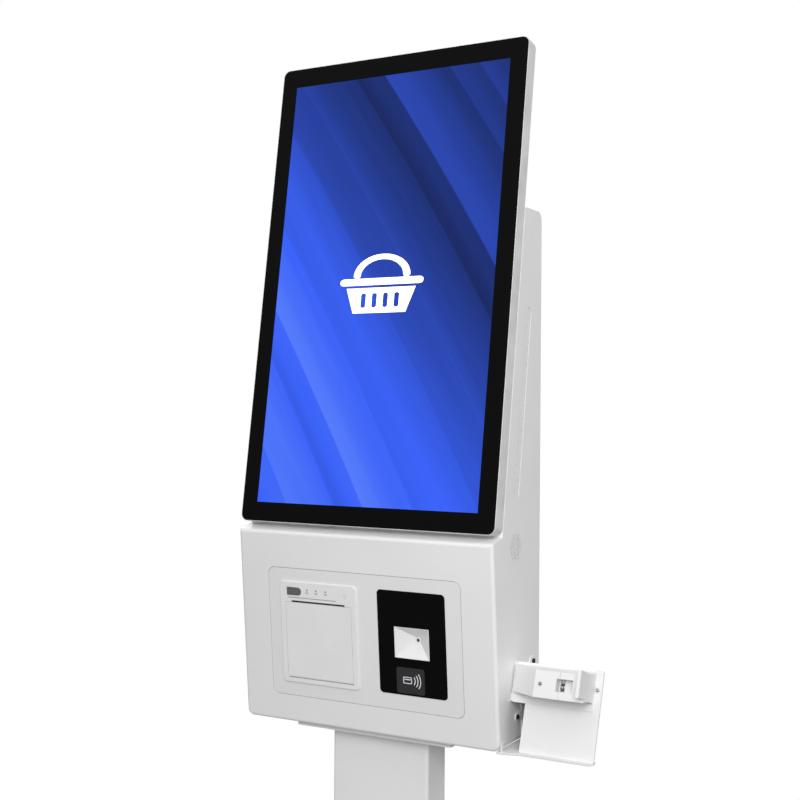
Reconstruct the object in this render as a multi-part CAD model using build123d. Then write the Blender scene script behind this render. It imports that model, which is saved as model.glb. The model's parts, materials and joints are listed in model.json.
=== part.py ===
"""Self checkout kiosk on a floor stand, modelled as separate pieces.

Millimetres. The origin is on the floor, under the centre of the column. +X is the customer's
right-hand side of the kiosk, +Y points away from the customer and +Z is up.
"""

import os
from math import cos, radians, sin, tan

from build123d import *

# ---------------------------------------------------------------- driving dimensions
SCREEN_Y = -77.0            # bottom centre of the lit area, on the glass
SCREEN_Z = 980.0
SCREEN_TILT = 8.64          # the display leans back by this angle, in degrees
LIT_W = 336.2               # lit area of a 27 inch panel, upright
LIT_H = 597.7
BORDER_SIDE = 24.4
BORDER_TOP = 27.6
BORDER_BOTTOM = 25.9
GLASS_T = 3.0
GLASS_R = 9.5
DISPLAY_T = 23.4            # glass front to the back edge of the rim
HOUSING_GAP = 24.0          # glass front to the sloping front of the housing

BODY_W = 385.8
BODY_BACK = 139.4           # the housing's profile is measured from the screen point
BODY_TOP = 392.7
BODY_BOTTOM = -299.0
WALL = 2.0
FACE_TILT = 5.19            # the lower front face leans in towards its foot, in degrees
FACE_OFFSET = -11.6
FACE_TOP = -38.0
SHELF_BACK = -31.0
FACE_EDGE_R = 4.5
FOOT_R = 10.0               # the housing's bottom corners
FOLD_R = 2.5                # folds along the sides of the sloping front

COLUMN_W = 147.0
COLUMN_D = 52.0
COLUMN_WALL = 2.5
COLUMN_R = 4.0
FLANGE_W = 236.0
FLANGE_D = 97.0
FLANGE_T = 7.0
BASE_W = 440.0
BASE_D = 440.0
BASE_T = 10.0
BASE_R = 20.0
PAD_T = 3.0

HOLDER_TILT = 19.0          # the card-terminal plate leans back by this angle, in degrees
HOLDER_Y = 30.0
HOLDER_Z = -297.0

GAP = 0.4                   # clearance between pieces that move
FIT = 0.05                  # radial running clearance of a pin in its hole

# ---------------------------------------------------------------- places worked out from them
GLASS_W = LIT_W + 2 * BORDER_SIDE
GLASS_BOTTOM = -BORDER_BOTTOM
GLASS_TOP = LIT_H + BORDER_TOP
HALF_BODY = BODY_W / 2
BACK_Y = SCREEN_Y + BODY_BACK
BODY_FOOT = SCREEN_Z + BODY_BOTTOM
COLUMN_TOP = BODY_FOOT - FLANGE_T
BASE_TOP = PAD_T + BASE_T


def leaning_plane(y, z, lean):
    """A plane that faces the customer and leans back by lean degrees; its z axis points out."""
    a = radians(lean)
    return Plane(origin=(0, SCREEN_Y + y, SCREEN_Z + z), x_dir=(1, 0, 0), z_dir=(0, -cos(a), sin(a)))


DISPLAY = leaning_plane(0, 0, SCREEN_TILT)
FACE = leaning_plane(FACE_OFFSET, 0, -FACE_TILT)
HOLDER = leaning_plane(HOLDER_Y, HOLDER_Z, HOLDER_TILT)

parts = {}


def keep(name, shape):
    parts[name] = shape


def grown(limits, by):
    return (limits[0] - by, limits[1] + by)


def slab(x, y, z, radius=0.0):
    """A box between three pairs of limits, with its four corners in the XY plane rounded."""
    width, height = x[1] - x[0], y[1] - y[0]
    outline = RectangleRounded(width, height, radius) if radius else Rectangle(width, height)
    return Pos((x[0] + x[1]) / 2, (y[0] + y[1]) / 2, z[0]) * extrude(outline, z[1] - z[0])


def down(top, bottom):
    """Limits along a leaning face's own y axis, from two distances down the face."""
    return (-bottom, -top)


def rod(x, y, z, radius, length, direction):
    """A round bar that starts at a point and runs along +X, +Y or +Z."""
    turn = {"x": Rot(0, 90, 0), "y": Rot(-90, 0, 0), "z": Rot(0, 0, 0)}[direction]
    bar = Pos(0, 0, length / 2) * Cylinder(radius, length)
    return Pos(x, y, z) * turn * bar


def group(shapes):
    """Separate solids that share one node."""
    return Compound(children=list(shapes))


def side_profile(points):
    """A face in the YZ plane through points given from the screen point."""
    corners = [(SCREEN_Y + y, SCREEN_Z + z) for y, z in points]
    return Plane.YZ * make_face(Polyline(*corners, close=True))


# ---------------------------------------------------------------- main housing
def face_y(z):
    """The lower front face's y at a height, from the screen point."""
    return FACE_OFFSET - z * tan(radians(FACE_TILT))


def slope_y(z):
    """The sloping upper front's y at a height, from the screen point."""
    a = radians(SCREEN_TILT)
    return z * tan(a) + HOUSING_GAP / cos(a)


HOOD_OVERLAP = -70.0        # the upper box runs this far down inside the hood
TOP_BACK_R = 12.0


def housing_solid(inset):
    """The housing's outer form, or its cavity when inset is the wall thickness."""
    half = HALF_BODY - inset
    foot, front_top = BODY_BOTTOM, FACE_TOP
    hood_points = [
        (face_y(foot), foot),
        (face_y(front_top), front_top),
        (slope_y(SHELF_BACK), SHELF_BACK),
        (BODY_BACK, SHELF_BACK),
        (BODY_BACK, foot),
    ]
    upper_points = [
        (slope_y(HOOD_OVERLAP), HOOD_OVERLAP),
        (slope_y(BODY_TOP), BODY_TOP),
        (BODY_BACK, BODY_TOP),
        (BODY_BACK, HOOD_OVERLAP),
    ]
    hood_face, upper_face = side_profile(hood_points), side_profile(upper_points)
    if inset:
        hood_face = offset(hood_face, amount=-inset, kind=Kind.INTERSECTION)
        upper_face = offset(upper_face, amount=-inset, kind=Kind.INTERSECTION)
    hood = extrude(hood_face, half, both=True)
    upper = extrude(upper_face, half, both=True)
    under = hood.faces().sort_by(Axis.Z)[0]
    hood = fillet(under.edges().filter_by(Axis.Y), FOOT_R - inset)
    front = hood.faces().sort_by(Axis.Y)[0]
    hood = fillet(front.edges(), FACE_EDGE_R - inset)
    slope = upper.faces().sort_by(Axis.Y)[0]
    upper = fillet(slope.edges().filter_by(Axis.X, reverse=True), FOLD_R - inset)
    top_back = upper.edges().filter_by(Axis.X).group_by(Axis.Z)[-1].sort_by(Axis.Y)[-1]
    upper = fillet(top_back, TOP_BACK_R - inset)
    return hood + upper


DOOR_X = (-165.0, 165.0)
DOOR_Z = (755.0, 1340.0)
IO_X = (-110.0, 110.0)
IO_Z = (695.0, 740.0)
INSERT_X = (-146.0, 146.0)
INSERT_D = (87.7, 262.8)
INSERT_R = 9.5
SEAM = 0.6                  # visible gap round the front insert
STRIP_DEPTH = 58.3          # light strip centre line, behind the glass
STRIP_V = (26.0, 275.0)
STRIP_W = 17.0
SPEAKER_Y = SCREEN_Y + 62.3
SPEAKER_Z = SCREEN_Z - 46.4
GRILLE_R = 19.0
CABLE_PORT_W = 90.0
CABLE_PORT_D = 30.0
FLANGE_BOLT_X = 100.0
FLANGE_BOLT_Y = 30.0
VESA = 100.0                # display fixing pattern, a square
VESA_V = 250.0
SIDE_SCREWS = [(117.0, -201.0), (67.0, -264.4)]


def strip_solid(x, grow):
    """A light strip's rounded bar through a side wall, between two x values."""
    mid_v, length = (STRIP_V[0] + STRIP_V[1]) / 2, STRIP_V[1] - STRIP_V[0]
    outline = SlotOverall(length + 2 * grow, STRIP_W + 2 * grow, rotation=90)
    a = radians(SCREEN_TILT)
    y = SCREEN_Y + mid_v * sin(a) + STRIP_DEPTH * cos(a)
    z = SCREEN_Z + mid_v * cos(a) - STRIP_DEPTH * sin(a)
    side = Plane(origin=(x[0], y, z), x_dir=(0, cos(a), -sin(a)), z_dir=(1, 0, 0))
    return side * extrude(outline, x[1] - x[0])


def make_housing():
    shell = housing_solid(0) - housing_solid(WALL)
    back_cut = (BACK_Y - 2 * WALL, BACK_Y + WALL)
    shell -= slab(DOOR_X, back_cut, DOOR_Z)
    shell -= slab(IO_X, back_cut, IO_Z)
    grown_x = (INSERT_X[0] - SEAM, INSERT_X[1] + SEAM)
    grown_y = down(INSERT_D[0] - SEAM, INSERT_D[1] + SEAM)
    shell -= FACE * slab(grown_x, grown_y, (-3 * WALL, WALL), INSERT_R + SEAM)
    display_port = slab((-110, 110), (20, 180), (-HOUSING_GAP - 3 * WALL, -HOUSING_GAP + WALL), 8)
    shell -= DISPLAY * display_port
    for x in (-VESA / 2, VESA / 2):
        for v in (VESA_V - VESA / 2, VESA_V + VESA / 2):
            hole = Pos(x, v, -HOUSING_GAP) * Cylinder(2.6, 8 * WALL)
            shell -= DISPLAY * hole
    for side in (-1, 1):
        wall_x = sorted((side * (HALF_BODY - 2 * WALL), side * (HALF_BODY + WALL)))
        shell -= strip_solid(wall_x, 0.3)
        shell -= rod(wall_x[0], SPEAKER_Y, SPEAKER_Z, GRILLE_R + 0.02, 3 * WALL, "x")
    for y, z in SIDE_SCREWS:
        shell -= rod(HALF_BODY - 2 * WALL, SCREEN_Y + y, SCREEN_Z + z, 2.7, 3 * WALL, "x")
    shell -= Pos(0, 0, BODY_FOOT) * Box(CABLE_PORT_W, CABLE_PORT_D, 4 * WALL)
    for x in (-FLANGE_BOLT_X, FLANGE_BOLT_X):
        for y in (-FLANGE_BOLT_Y, FLANGE_BOLT_Y):
            shell -= rod(x, y, BODY_FOOT - WALL, 4.2, 3 * WALL, "z")
    keep("main_housing", shell)


# ---------------------------------------------------------------- display
RIM_WALL = 2.5
RIM_LIP = 24.0              # width of the frame's back lip
RIM_SHOWN = 0.8             # width of the rim that shows round the glass
LIP_T = 2.0
GASKET_T = 0.6
LCD_BACK = -16.4
COVER_WALL = 1.5
PAD_HALF = 75.0             # raised square of the back cover that meets the housing
SCREW_CLEAR = 2.05


def make_display():
    half = GLASS_W / 2
    outline_x, outline_y = (-half, half), (GLASS_BOTTOM, GLASS_TOP)
    glass = slab(outline_x, outline_y, (-GLASS_T, 0), GLASS_R)
    glass = fillet(glass.faces().sort_by(Axis.Z)[-1].edges(), 0.5)
    keep("touch_glass", DISPLAY * glass)

    def inner(by, z, radius=2.0):
        limits_y = (GLASS_BOTTOM + by, GLASS_TOP - by)
        return slab((-half + by, half - by), limits_y, z, radius)

    rim_limits = (grown(outline_x, RIM_SHOWN), grown(outline_y, RIM_SHOWN))
    rim = slab(*rim_limits, (-DISPLAY_T, -0.5), GLASS_R + RIM_SHOWN)
    rim = fillet(rim.faces().sort_by(Axis.Z)[0].edges(), 1.2)
    rim = fillet(rim.faces().sort_by(Axis.Z)[-1].edges(), 0.4)
    rim -= slab(grown(outline_x, FIT), grown(outline_y, FIT), (-GLASS_T, 1), GLASS_R + FIT)
    rim -= inner(RIM_WALL, (-DISPLAY_T + LIP_T, -GLASS_T + 1), GLASS_R - RIM_WALL)
    rim -= inner(RIM_LIP, (-DISPLAY_T - 1, 0))
    keep("display_frame", DISPLAY * rim)

    seal = inner(RIM_WALL + 0.1, (-GLASS_T - GASKET_T, -GLASS_T), GLASS_R - RIM_WALL)
    seal -= inner(BORDER_SIDE - 2, (-GLASS_T - 2, 0))
    keep("glass_gasket", DISPLAY * seal)
    lcd = slab((-LIT_W / 2 - 8, LIT_W / 2 + 8), (-9, LIT_H + 8), (LCD_BACK, -GLASS_T - GASKET_T))
    keep("lcd_panel", DISPLAY * lcd)

    sheet_z = (-DISPLAY_T + LIP_T, -DISPLAY_T + LIP_T + COVER_WALL)
    cover = inner(RIM_WALL + 0.5, sheet_z, 6)
    pad, dish = PAD_HALF, PAD_HALF - COVER_WALL
    cover += slab((-pad, pad), (VESA_V - pad, VESA_V + pad), (-HOUSING_GAP, sheet_z[1]), 6)
    cover -= slab((-dish, dish), (VESA_V - dish, VESA_V + dish), (-HOUSING_GAP + COVER_WALL, 0), 4.5)
    for row_v in (440, 490, 540):
        for column in range(-9, 10):
            cover -= Pos(column * 12, row_v, sheet_z[0]) * Box(3, 30, 4 * COVER_WALL)
    cover -= slab((-30, 30), (60, 120), grown(sheet_z, 1))
    screws = []
    for x in (-VESA / 2, VESA / 2):
        for v in (VESA_V - VESA / 2, VESA_V + VESA / 2):
            cover -= Pos(x, v, -HOUSING_GAP) * Cylinder(SCREW_CLEAR, 4 * COVER_WALL)
            shank = Pos(x, v, -HOUSING_GAP) * Cylinder(2.0, 2 * COVER_WALL + 2 * WALL)
            head = Pos(x, v, -HOUSING_GAP - WALL - 1.5) * Cylinder(3.8, 3.0)
            socket = Pos(x, v, -HOUSING_GAP - WALL - 3.0) * extrude(RegularPolygon(1.6, 6), 2)
            screws.append(DISPLAY * (shank + head - socket))
    keep("display_back_cover", DISPLAY * cover)
    keep("display_screws", group(screws))


# ---------------------------------------------------------------- rear door and its lock
DOOR_GAP = 1.5
HINGE_X = -168.0
PIN_R = 2.0
KNUCKLE_R = 4.0
KNUCKLE_H = 20.0
LEAF_W = 22.0
LEAF_T = 1.5
HINGE_Z = (860.0, 1230.0)
HINGE_Y = BACK_Y + KNUCKLE_R
LOCK_X = 150.0
LOCK_Z = 1047.5
LOCK_R = 5.0
CAM_GAP = 0.6
CAM_T = 2.4


def hinge_leaf(side, z_low, z_high):
    """One hinge leaf: a plate on the back, joined to its knuckles. side is -1 on the housing."""
    near, far = side * (KNUCKLE_R + 0.6), side * LEAF_W
    plate_x = sorted((HINGE_X + near, HINGE_X + far))
    plate = slab(plate_x, (BACK_Y, BACK_Y + LEAF_T), (z_low, z_high))
    third = (z_high - z_low) / 3
    spans = [(z_low + third + 0.3, z_high - third - 0.3)]
    if side < 0:
        spans = [(z_low, z_low + third), (z_high - third, z_high)]
    for low, high in spans:
        tab_x = sorted((HINGE_X, HINGE_X + near + side))
        plate += slab(tab_x, (BACK_Y, BACK_Y + LEAF_T), (low, high))
        plate += rod(HINGE_X, HINGE_Y, low, KNUCKLE_R, high - low, "z")
    if side > 0:
        plate -= rod(HINGE_X, HINGE_Y, z_low - 1, PIN_R + FIT, z_high - z_low + 2, "z")
    return plate


def make_rear_door():
    z = (DOOR_Z[0] + DOOR_GAP, DOOR_Z[1] - DOOR_GAP)
    x = (DOOR_X[0] + DOOR_GAP, DOOR_X[1] - DOOR_GAP)
    door = slab(x, (BACK_Y - WALL, BACK_Y), z)
    for low in (800, 1270):
        for column in range(-14, 15):
            door -= Pos(column * 8, BACK_Y, low) * Box(3, 3 * WALL, 34)
    door -= rod(LOCK_X, BACK_Y - 2 * WALL, LOCK_Z, LOCK_R + FIT, 4 * WALL, "y")
    fixed = []
    for z_mid in HINGE_Z:
        low, high = z_mid - 1.5 * KNUCKLE_H, z_mid + 1.5 * KNUCKLE_H
        door += hinge_leaf(1, low, high)
        pin = rod(HINGE_X, HINGE_Y, low - 1, PIN_R, high - low + 2, "z")
        pin += rod(HINGE_X, HINGE_Y, high, PIN_R + 1, 1.5, "z")
        fixed.append(hinge_leaf(-1, low, high) + pin)
    keep("rear_door", door)
    keep("door_hinges", group(fixed))

    barrel_back = BACK_Y - WALL - CAM_GAP
    barrel = rod(LOCK_X, barrel_back, LOCK_Z, LOCK_R, BACK_Y - barrel_back, "y")
    cap = rod(LOCK_X, BACK_Y, LOCK_Z, LOCK_R + 3, 2, "y")
    barrel += fillet(cap.faces().sort_by(Axis.Y)[-1].edges(), 0.6)
    barrel -= Pos(LOCK_X, BACK_Y + 2, LOCK_Z) * Box(1.2, 6, 5)
    keep("lock_barrel", barrel)
    cam_y = (barrel_back - CAM_T, barrel_back)
    cam = slab((LOCK_X - LOCK_R, LOCK_X + LOCK_R), cam_y, (LOCK_Z - LOCK_R, LOCK_Z + 24))
    keep("lock_cam", cam)


# ---------------------------------------------------------------- front insert
PRINTER_X = (-127.5, -6.8)
PRINTER_D = (104.9, 244.2)
NECK_X = (-122.0, -12.3)
NECK_D = (110.0, 241.0)
SCANNER_X = (24.2, 123.1)
SCANNER_D = (106.0, 242.1)
SCANNER_R = 5.5
WINDOW_X = (48.2, 99.3)
WINDOW_D = (152.7, 193.6)


def make_insert():
    panel = slab(INSERT_X, down(*INSERT_D), (-WALL, 0), INSERT_R)
    panel -= slab(grown(NECK_X, 0.5), down(*grown(NECK_D, 0.5)), (-2 * WALL, WALL), 3)
    panel -= slab(grown(SCANNER_X, 0.35), down(*grown(SCANNER_D, 0.35)), (-2 * WALL, WALL), SCANNER_R)
    keep("front_insert", FACE * panel)
    backing = slab(grown(INSERT_X, 7), down(*grown(INSERT_D, 7)), (-2 * WALL, -WALL), 6)
    backing -= slab(grown(NECK_X, 0.5), down(*grown(NECK_D, 0.5)), (-3 * WALL, 0), 3)
    backing -= slab(WINDOW_X, down(*WINDOW_D), (-3 * WALL, 0))
    screws = []
    middle_d = sum(INSERT_D) / 2
    for x in (INSERT_X[0] + 4, INSERT_X[1] - 4):
        for d in (INSERT_D[0] + 12, middle_d, INSERT_D[1] - 12):
            backing -= Pos(x, -d, -2 * WALL) * Cylinder(1.45, 4 * WALL)
            screw = Pos(x, -d, -1.5 * WALL) * Cylinder(1.4, WALL)
            screw += Pos(x, -d, -2 * WALL - 0.8) * Cylinder(2.8, 1.6)
            screw -= Pos(x, -d, -2 * WALL - 1.6) * Box(4, 0.7, 1.4)
            screws.append(FACE * screw)
    keep("insert_backing", FACE * backing)
    keep("insert_screws", group(screws))


# ---------------------------------------------------------------- receipt printer
BEZEL_T = 2.2
STRIP_T = 1.0               # the bezel's thickness behind the face, at its upper strip
DOOR_EDGE_X = (-118.5, -15.5)
DOOR_TOP_D = 133.7
PIVOT_D = 235.0
PIVOT_Z = -0.3
PIVOT_R = 2.5
SLOT_X = (-109.5, -24.7)
SLOT_D = (130.9, 133.3)
PLATEN_D = 142.5
PLATEN_Z = -9.0
PLATEN_R = 5.5
PLATEN_SHAFT_R = 1.5
ROLL_D = 209.1
ROLL_Z = -38.0
ROLL_R = 29.0
CORE_R = 8.0
ROLL_X = (-107.0, -27.5)
CHASSIS_Z = (-75.0, -12.0)
BUTTON_X = (-115.6, -93.2)
BUTTON_D = (113.2, 123.6)
FEED_X = -24.2
FEED_D = 119.4
LED_X = (-83.3, -69.1, -54.0)
LED_D = 115.8
LED_R = 1.0
HOLLOW_X = (-118.9, -15.1)  # opening in the bezel for the door and the buttons' carrier
HOLLOW_D = (111.2, 238.0)
GROOVE_X = (-115.0, -38.0)
GROOVE_D = (126.4, 127.6)
GROOVE_DEPTH = 0.8


def cross_rod(x, d, z, radius):
    """A round bar along x, across the lower front face."""
    return rod(x[0], -d, z, radius, x[1] - x[0], "x")


def button_solid(grow, z):
    """The release button's outline: square at the left, round at the right."""
    radius = (BUTTON_D[1] - BUTTON_D[0]) / 2
    middle = -(BUTTON_D[0] + BUTTON_D[1]) / 2
    centre_x = BUTTON_X[1] - radius
    block = slab((BUTTON_X[0] - grow, centre_x), down(*grown(BUTTON_D, grow)), z)
    return block + Pos(centre_x, middle, (z[0] + z[1]) / 2) * Cylinder(radius + grow, z[1] - z[0])


def make_printer():
    bezel = slab(PRINTER_X, down(*PRINTER_D), (0, BEZEL_T), 6)
    bezel = fillet(bezel.faces().sort_by(Axis.Z)[-1].edges(), 1.0)
    bezel += slab(NECK_X, down(*NECK_D), (CHASSIS_Z[1], 0), 2)
    bezel -= slab(HOLLOW_X, down(*HOLLOW_D), (CHASSIS_Z[1] - 1, -STRIP_T))
    bezel -= slab(HOLLOW_X, down(SLOT_D[1], HOLLOW_D[1]), (-2 * STRIP_T, 2 * BEZEL_T))
    bezel -= slab(SLOT_X, down(*grown(SLOT_D, 0.01)), (-2 * STRIP_T, 2 * BEZEL_T))
    bezel -= slab(GROOVE_X, down(*GROOVE_D), (BEZEL_T - GROOVE_DEPTH, 2 * BEZEL_T))
    bezel -= button_solid(0.35, (-2 * BEZEL_T, 2 * BEZEL_T))
    bezel -= Pos(FEED_X, -FEED_D, 0) * Cylinder(2.85, 4 * BEZEL_T)
    for x in LED_X:
        bezel -= Pos(x, -LED_D, 0) * Cylinder(LED_R + 0.02, 4 * BEZEL_T)
    bezel -= cross_rod((NECK_X[0] + 0.5, NECK_X[1] - 0.5), PIVOT_D, PIVOT_Z, 1.02)
    keep("printer_bezel", FACE * bezel)
    keep("printer_door_pin", FACE * cross_rod((NECK_X[0] + 0.6, NECK_X[1] - 0.6), PIVOT_D, PIVOT_Z, 1.0))

    door = slab(DOOR_EDGE_X, down(DOOR_TOP_D, PIVOT_D), (PIVOT_Z, BEZEL_T))
    door += cross_rod(DOOR_EDGE_X, PIVOT_D, PIVOT_Z, PIVOT_R)
    arms = ((DOOR_EDGE_X[0] + 2, DOOR_EDGE_X[0] + 5), (DOOR_EDGE_X[1] - 5, DOOR_EDGE_X[1] - 2))
    for arm_x in arms:
        door += slab(arm_x, down(137, 148), (-13.5, PIVOT_Z))
    for rib_x in (-98, -67, -36):
        door += slab((rib_x - 1, rib_x + 1), down(152, 228), (PIVOT_Z - 2, PIVOT_Z))
    door -= cross_rod(DOOR_EDGE_X, PIVOT_D, PIVOT_Z, 1.0 + FIT)
    door -= cross_rod(DOOR_EDGE_X, PLATEN_D, PLATEN_Z, PLATEN_SHAFT_R + FIT)
    keep("printer_door", FACE * door)

    flange_z = (-STRIP_T - GAP - 1, -STRIP_T - GAP)
    button = button_solid(0, (flange_z[0], BEZEL_T + 0.6))
    button = fillet(button.faces().sort_by(Axis.Z)[-1].edges(), 0.4)
    button += button_solid(0.8, flange_z)
    keep("release_button", FACE * button)
    feed = Pos(FEED_X, -FEED_D, 0) * Cylinder(2.5, 2 * (STRIP_T + GAP + 1))
    feed += Pos(FEED_X, -FEED_D, -STRIP_T - GAP - 0.5) * Cylinder(3.4, 1.0)
    keep("feed_button", FACE * feed)
    lenses = [FACE * (Pos(x, -LED_D, 0.6) * Cylinder(LED_R, 3.4)) for x in LED_X]
    keep("indicator_lenses", group(lenses))

    bar = slab(grown(SLOT_X, -0.5), down(125.4, 131.6), (-STRIP_T - 0.6, -STRIP_T))
    tooth_pitch = 2.8
    teeth = int((SLOT_X[1] - SLOT_X[0] - 2) / tooth_pitch)
    for i in range(teeth):
        x = SLOT_X[0] + 1.2 + i * tooth_pitch
        corners_xy = [(x, -131.5), (x + tooth_pitch, -131.5), (x + tooth_pitch / 2, -132.8)]
        tooth = make_face(Polyline(*corners_xy, close=True))
        bar += Pos(0, 0, -STRIP_T - 0.6) * extrude(tooth, 0.6)
    keep("tear_bar", FACE * bar)

    chassis = slab(NECK_X, down(*NECK_D), CHASSIS_Z, 2)
    chassis -= slab(grown(NECK_X, -2.5), down(*grown(NECK_D, -2.5)), (CHASSIS_Z[0] + 2, 0))
    inner_x = grown(NECK_X, -2.5)
    chassis += slab(inner_x, down(137, 149), (-21, -19))
    chassis += slab(inner_x, down(119, 121), (-30, -12.5))
    keep("printer_chassis", FACE * chassis)
    keep("print_head", FACE * slab((-112, -22), down(138, 147), (-19, PLATEN_Z - PLATEN_R - 0.4)))
    cutter = slab((-112, -22), down(121, 133.6), (-30, -8))
    cutter += slab((-108, -26), down(133.6, 134.7), (-27, -9))
    keep("cutter_unit", FACE * cutter)

    shaft = cross_rod((DOOR_EDGE_X[0] + 0.6, DOOR_EDGE_X[1] - 1.4), PLATEN_D, PLATEN_Z, PLATEN_SHAFT_R)
    keep("platen_shaft", FACE * shaft)
    roller = cross_rod((-110, -24), PLATEN_D, PLATEN_Z, PLATEN_R)
    keep("platen_roller", FACE * (roller - cross_rod((-112, -22), PLATEN_D, PLATEN_Z, PLATEN_SHAFT_R)))
    gear = make_gear(16, 0.7, 1.2)
    gear_place = Pos(DOOR_EDGE_X[0] + 0.6, -PLATEN_D, PLATEN_Z) * Rot(0, 90, 0)
    keep("platen_gear", FACE * (gear_place * gear))

    roll = cross_rod(ROLL_X, ROLL_D, ROLL_Z, ROLL_R)
    keep("paper_roll", FACE * (roll - cross_rod(grown(ROLL_X, 1), ROLL_D, ROLL_Z, CORE_R)))
    core = cross_rod(grown(ROLL_X, 0.4), ROLL_D, ROLL_Z, CORE_R)
    keep("roll_core", FACE * (core - cross_rod(grown(ROLL_X, 2), ROLL_D, ROLL_Z, CORE_R - 2)))


def make_gear(teeth, module, thickness):
    """A spur gear with straight-sided teeth, bored for the platen shaft."""
    root = module * teeth / 2 - 1.25 * module
    tip = module * teeth / 2 + module
    gear = Cylinder(root, thickness)
    for i in range(teeth):
        tooth = Pos((root + tip) / 2 - 0.2, 0, 0) * Box(tip - root + 0.4, 1.6 * module, thickness)
        gear += Rot(0, 0, 360 * i / teeth) * tooth
    gear -= Cylinder(PLATEN_SHAFT_R, 3 * thickness)
    return Pos(0, 0, thickness / 2) * gear


# ---------------------------------------------------------------- scanner and contactless reader
FUNNEL_DEPTH = 17.0
PANEL_PROUD = 0.6
LENS_R = 2.0


def window_frustum(front, front_z, back, back_z):
    """A four-sided frustum centred on the scanner window, between two rectangles."""
    centre_x = sum(WINDOW_X) / 2
    centre_y = -sum(WINDOW_D) / 2
    near = Pos(centre_x, centre_y, front_z) * Rectangle(*front)
    far = Pos(centre_x, centre_y, back_z) * Rectangle(*back)
    return loft([near, far])


def make_scanner():
    window_w, window_h = WINDOW_X[1] - WINDOW_X[0], WINDOW_D[1] - WINDOW_D[0]
    panel = slab(SCANNER_X, down(*SCANNER_D), (-WALL, PANEL_PROUD), SCANNER_R)
    panel = fillet(panel.faces().sort_by(Axis.Z)[-1].edges(), 0.3)
    panel -= slab(WINDOW_X, down(*WINDOW_D), (-2 * WALL, WALL))
    keep("scanner_panel", FACE * panel)

    mouth = (window_w - 1.6, window_h - 1.6)
    funnel = slab(grown(WINDOW_X, -0.05), down(*grown(WINDOW_D, -0.05)), (-2 * WALL, 0.3))
    funnel += window_frustum((window_w - 0.1, window_h - 0.1), -2 * WALL, (14, 13), -FUNNEL_DEPTH - 2)
    funnel -= window_frustum(mouth, 0.35, (8, 8), -FUNNEL_DEPTH)
    centre_x, centre_y = sum(WINDOW_X) / 2, -sum(WINDOW_D) / 2
    funnel -= Pos(centre_x, centre_y, -FUNNEL_DEPTH) * Cylinder(LENS_R + 0.3, 10)
    keep("scanner_funnel", FACE * funnel)
    back = -FUNNEL_DEPTH - 2
    module_x = (centre_x - 14, centre_x + 14)
    module = slab(module_x, (centre_y - 11, centre_y + 11), (back - 15, back), 2)
    for x in (module_x[0] - 3, module_x[1] + 3):
        module += slab((x - 3, x + 3), (centre_y - 3, centre_y + 3), (back - 15, back - 12))
    keep("scanner_module", FACE * module)
    lens = Pos(centre_x, centre_y, back + 0.8) * Cylinder(LENS_R, 1.6)
    keep("scanner_lens", FACE * fillet(lens.faces().sort_by(Axis.Z)[-1].edges(), 0.5))

    keep("reader_label", FACE * slab((50, 91), down(205.5, 239.5), (PANEL_PROUD, PANEL_PROUD + 0.25), 3))
    board = slab((46, 96), down(201, 244), (-2 * WALL - 1.6, -2 * WALL))
    board += slab((62, 76), down(214, 226), (-2 * WALL - 3, -2 * WALL - 1.6))
    keep("reader_board", FACE * board)


# ---------------------------------------------------------------- sides: light strips and speakers
HOLE_PITCH = 4.9
HOLE_R = 1.35
PERFORATED_R = 17.2
GRILLE_T = 0.8
STRIP_RECESS = 0.5


def make_sides():
    strips, screws, grilles, speakers = [], [], [], []
    for side in (-1, 1):
        outer, inner = side * (HALF_BODY - STRIP_RECESS), side * (HALF_BODY - WALL)
        backing = side * (HALF_BODY - WALL - 1.5)
        strip = strip_solid(sorted((inner, outer)), 0) + strip_solid(sorted((backing, inner)), 3)
        strips.append(strip)

        face = side * HALF_BODY
        wall_x = min(inner, face)
        grille = rod(wall_x, SPEAKER_Y, SPEAKER_Z, GRILLE_R, WALL, "x")
        hollow_x = min(inner, face - side * GRILLE_T)
        grille -= rod(hollow_x, SPEAKER_Y, SPEAKER_Z, PERFORATED_R + 0.6, WALL - GRILLE_T, "x")
        reach = int(PERFORATED_R / HOLE_PITCH) + 1
        column_step = HOLE_PITCH * cos(radians(30))
        for column in range(-reach - 1, reach + 2):
            shift = HOLE_PITCH / 2 if column % 2 else 0
            for row in range(-reach, reach + 1):
                y, z = column * column_step, row * HOLE_PITCH + shift
                if y * y + z * z <= PERFORATED_R ** 2:
                    grille -= rod(wall_x - 1, SPEAKER_Y + y, SPEAKER_Z + z, HOLE_R, 2 * WALL, "x")
        grilles.append(grille)

        frame_x = min(inner, inner - side * 3)
        basket_x = min(inner - side * 3, inner - side * 14)
        magnet_x = min(inner - side * 14, inner - side * 21)
        speaker = rod(frame_x, SPEAKER_Y, SPEAKER_Z, GRILLE_R + 3, 3, "x")
        speaker += rod(basket_x, SPEAKER_Y, SPEAKER_Z, 15, 11, "x")
        speaker += rod(magnet_x, SPEAKER_Y, SPEAKER_Z, 11, 7, "x")
        cone_x = min(inner, inner - side * 2)
        speaker -= rod(cone_x, SPEAKER_Y, SPEAKER_Z, 16, 2, "x")
        speakers.append(speaker)
    keep("light_strips", group(strips))
    keep("speaker_grilles", group(grilles))
    keep("speakers", group(speakers))


# ---------------------------------------------------------------- electronics behind the display
TRAY_Y = SCREEN_Y + 90.0
TRAY_T = 2.0
TRAY_Z = (960.0, 1310.0)


def box_on_tray(x, z, depth, radius=3.0):
    """A closed box fixed to the back of the equipment tray."""
    block = slab(x, z, (0, depth), radius)
    tray_back = Plane(origin=(0, TRAY_Y + TRAY_T, 0), x_dir=(1, 0, 0), z_dir=(0, -1, 0))
    return tray_back * Pos(0, 0, -depth) * block


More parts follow.
